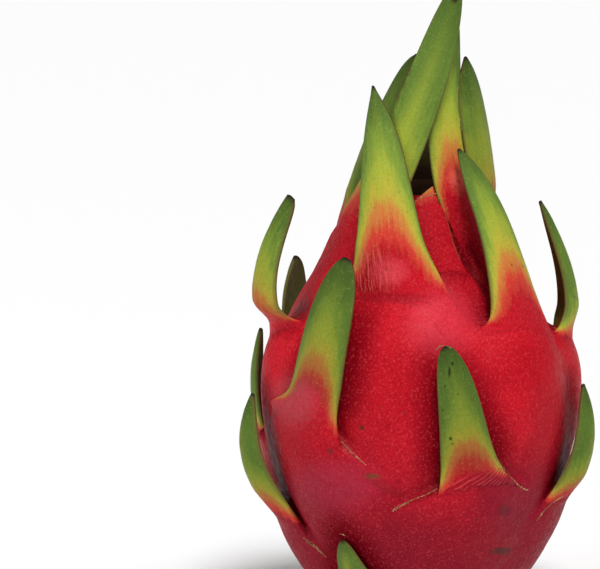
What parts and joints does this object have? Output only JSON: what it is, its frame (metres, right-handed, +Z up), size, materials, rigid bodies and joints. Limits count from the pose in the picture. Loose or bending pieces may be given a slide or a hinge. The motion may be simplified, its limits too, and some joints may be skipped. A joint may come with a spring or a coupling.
{
  "type": "dragon fruit",
  "caption": "Whole ripe dragon fruit standing on its stem end, with green-tipped scales rising from its red skin and closing over the navel.",
  "frame": {"origin": "centre of the underside of the box around the fruit, in the plane of the flat spot that it rests on", "axes": "+Z up from the stem end to the crown; -Y is the side that the picture shows; +X is to the right there"},
  "size_m": [0.1007, 0.0964, 0.183],
  "materials": {
    "red_skin": "smooth waxy fruit skin, red with green scale tips",
    "withered_brown": "dry and matt",
    "cut_stem": "dry cut plant stem"
  },
  "bodies": {
    "root": {"fruit": "red_skin", "dried_flower": "withered_brown", "stem_stub": "cut_stem"}
  },
  "joints": []
}
